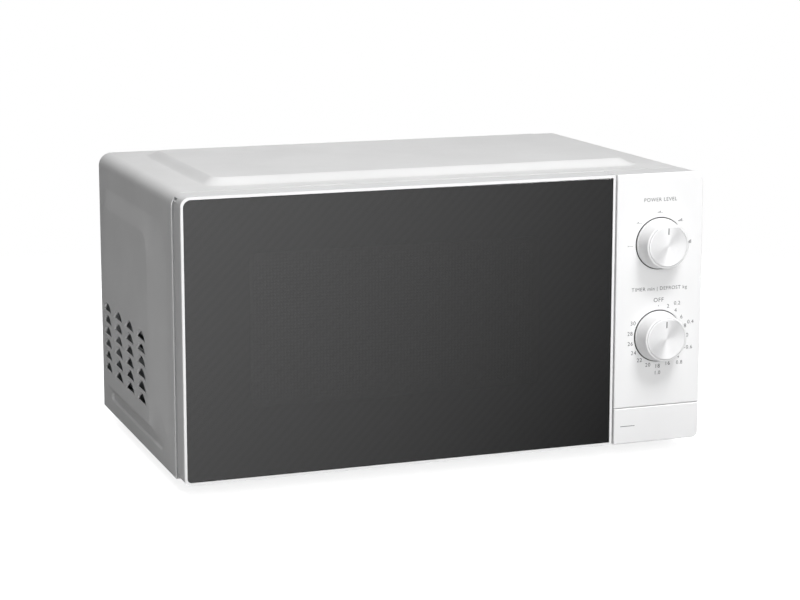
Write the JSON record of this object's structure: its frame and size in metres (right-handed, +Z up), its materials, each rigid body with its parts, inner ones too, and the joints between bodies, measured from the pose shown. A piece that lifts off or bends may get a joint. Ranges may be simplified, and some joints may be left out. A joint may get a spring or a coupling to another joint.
{
  "type": "microwave oven",
  "caption": "Countertop microwave oven: left-hung dark glass door, two rotary controls, push-button release, turntable, and an inverter-driven magnetron beside the cavity.",
  "frame": {"origin": "on the surface that it stands on, under the middle of the whole oven", "axes": "+X to the viewer's right along the front, +Y to the rear, +Z up"},
  "size_m": [0.446, 0.317, 0.241],
  "materials": {
    "casing_paint": "fine satin powder coat, silver grey",
    "galvanised_steel": "dull zinc-coated sheet",
    "front_paint": "satin grey paint",
    "cavity_enamel": "smooth light grey enamel",
    "foot_rubber": "matt black rubber",
    "screw_steel": "dark zinc plating",
    "white_plastic": "satin white moulding",
    "cream_plastic": "natural white moulding",
    "black_plastic": "fine-textured black moulding",
    "amber_plastic": "natural acetal",
    "mica_sheet": "pressed mica, silver brown",
    "ferrite": "matt sintered ferrite",
    "fin_aluminium": "bright rolled aluminium",
    "ceramic": "unglazed alumina",
    "circuit_board": "green solder mask",
    "transformer_core": "laminated core with tape",
    "capacitor_case": "moulded case",
    "lamp_glass": "clear bulb",
    "wire_insulation": "silicone insulation",
    "bell_brass": "pressed bell",
    "door_glass": "dark smoked mirror glass, polished",
    "screen_paint": "black enamel on a perforated screen",
    "window_film": "clear polyester film",
    "spring_steel": "drawn wire",
    "spun_metal": "spun silver cap",
    "plate_glass": "clear pressed glass"
  },
  "bodies": {
    "cabinet": {"cabinet_wrap": "casing_paint", "base_plate": "galvanised_steel", "rear_panel": "galvanised_steel", "front_plate": "front_paint", "oven_cavity": "cavity_enamel", "feet": "foot_rubber", "case_screws": "screw_steel", "control_panel": "white_plastic", "upper_hinge_bracket": "galvanised_steel", "lower_hinge_bracket": "galvanised_steel", "latch_housing": "cream_plastic", "door_switches": "black_plastic", "waveguide": "galvanised_steel", "waveguide_cover": "mica_sheet", "magnetron_yoke": "galvanised_steel", "magnetron_magnets": "ferrite", "magnetron_fins": "fin_aluminium", "magnetron_antenna": "ceramic", "magnetron_filter_box": "galvanised_steel", "inverter_board": "circuit_board", "inverter_heatsink": "fin_aluminium", "inverter_transformer": "transformer_core", "inverter_capacitors": "capacitor_case", "noise_filter_board": "circuit_board", "line_fuse": "ceramic", "cord_gland": "black_plastic", "fan_shroud": "cream_plastic", "fan_motor": "transformer_core", "lamp_housing": "cream_plastic", "cavity_lamp": "lamp_glass", "thermal_cutouts": "black_plastic", "wiring_harness": "wire_insulation", "timer_mechanism": "cream_plastic", "timer_bell": "bell_brass", "power_regulator": "cream_plastic", "turntable_motor": "galvanised_steel"},
    "door": {"door_frame": "white_plastic", "door_glass": "door_glass", "door_plate": "screen_paint", "choke_cover": "black_plastic", "window_film": "window_film", "latch_spring": "spring_steel"},
    "latch": {"latch_hooks": "cream_plastic"},
    "release_button": {"release_button": "white_plastic", "button_spring": "spring_steel"},
    "release_lever": {"release_lever": "amber_plastic"},
    "power_knob": {"power_knob": "white_plastic", "power_knob_cap": "spun_metal", "power_shaft": "cream_plastic"},
    "timer_knob": {"timer_knob": "white_plastic", "timer_knob_cap": "spun_metal", "timer_shaft": "cream_plastic"},
    "turntable": {"turntable_shaft": "cream_plastic", "drive_coupler": "cream_plastic", "turntable_plate": "plate_glass"},
    "roller_ring": {"roller_ring": "cream_plastic"},
    "roller_wheel_1": {"roller_wheel_1": "cream_plastic"},
    "roller_wheel_2": {"roller_wheel_2": "cream_plastic"},
    "roller_wheel_3": {"roller_wheel_3": "cream_plastic"},
    "fan": {"fan_impeller": "cream_plastic"}
  },
  "joints": [
    {"name": "door_hinge", "type": "hinge", "parent": "cabinet", "child": "door", "pos_m": [-0.214, -0.1225, 0.124], "axis": [0, 0, -1], "range_deg": [0, 92]},
    {"name": "latch_lift", "type": "slide", "parent": "door", "child": "latch", "axis": [0, 0, 1], "range_m": [0, 0.0031], "deforming": ["latch_spring"]},
    {"name": "button_press", "type": "slide", "parent": "cabinet", "child": "release_button", "axis": [0, 1, 0], "range_m": [0, 0.005], "stiffness_N_per_m": 600, "springref_m": -0.003, "deforming": ["button_spring"]},
    {"name": "lever_rock", "type": "hinge", "parent": "cabinet", "child": "release_lever", "pos_m": [0.132, -0.1095, 0.042], "axis": [1, 0, 0], "range_deg": [0, 17.2]},
    {"name": "power_knob_turn", "type": "hinge", "parent": "cabinet", "child": "power_knob", "pos_m": [0.18125, -0.1425, 0.178], "axis": [0, 1, 0], "range_deg": [-90, 90]},
    {"name": "timer_knob_turn", "type": "hinge", "parent": "cabinet", "child": "timer_knob", "pos_m": [0.18125, -0.1425, 0.101], "axis": [0, 1, 0], "range_deg": [0, 300]},
    {"name": "turntable_spin", "type": "hinge", "parent": "cabinet", "child": "turntable", "pos_m": [-0.045, 0.0135, 0.012], "axis": [0, 0, 1], "continuous": true},
    {"name": "roller_ring_spin", "type": "hinge", "parent": "cabinet", "child": "roller_ring", "pos_m": [-0.045, 0.0135, 0.012], "axis": [0, 0, 1], "continuous": true},
    {"name": "wheel_1_roll", "type": "hinge", "parent": "roller_ring", "child": "roller_wheel_1", "pos_m": [0.043, 0.0135, 0.038], "axis": [-1, 0, 0], "continuous": true},
    {"name": "wheel_2_roll", "type": "hinge", "parent": "roller_ring", "child": "roller_wheel_2", "pos_m": [-0.089, 0.08971, 0.038], "axis": [0.5, -0.866, 0], "continuous": true},
    {"name": "wheel_3_roll", "type": "hinge", "parent": "roller_ring", "child": "roller_wheel_3", "pos_m": [-0.089, -0.06271, 0.038], "axis": [0.5, 0.866, 0], "continuous": true},
    {"name": "fan_spin", "type": "hinge", "parent": "cabinet", "child": "fan", "pos_m": [0.16, 0.1075, 0.162], "axis": [0, 1, 0], "continuous": true}
  ],
  "couplings": [
    {"joint": "latch_lift", "follows": "button_press", "ratio": 0.6},
    {"joint": "lever_rock", "follows": "button_press", "rad_per_m": 59.341},
    {"joint": "roller_ring_spin", "follows": "turntable_spin", "ratio": 0.5},
    {"joint": "wheel_1_roll", "follows": "turntable_spin", "ratio": 5.6051},
    {"joint": "wheel_2_roll", "follows": "turntable_spin", "ratio": 5.6051},
    {"joint": "wheel_3_roll", "follows": "turntable_spin", "ratio": 5.6051}
  ]
}
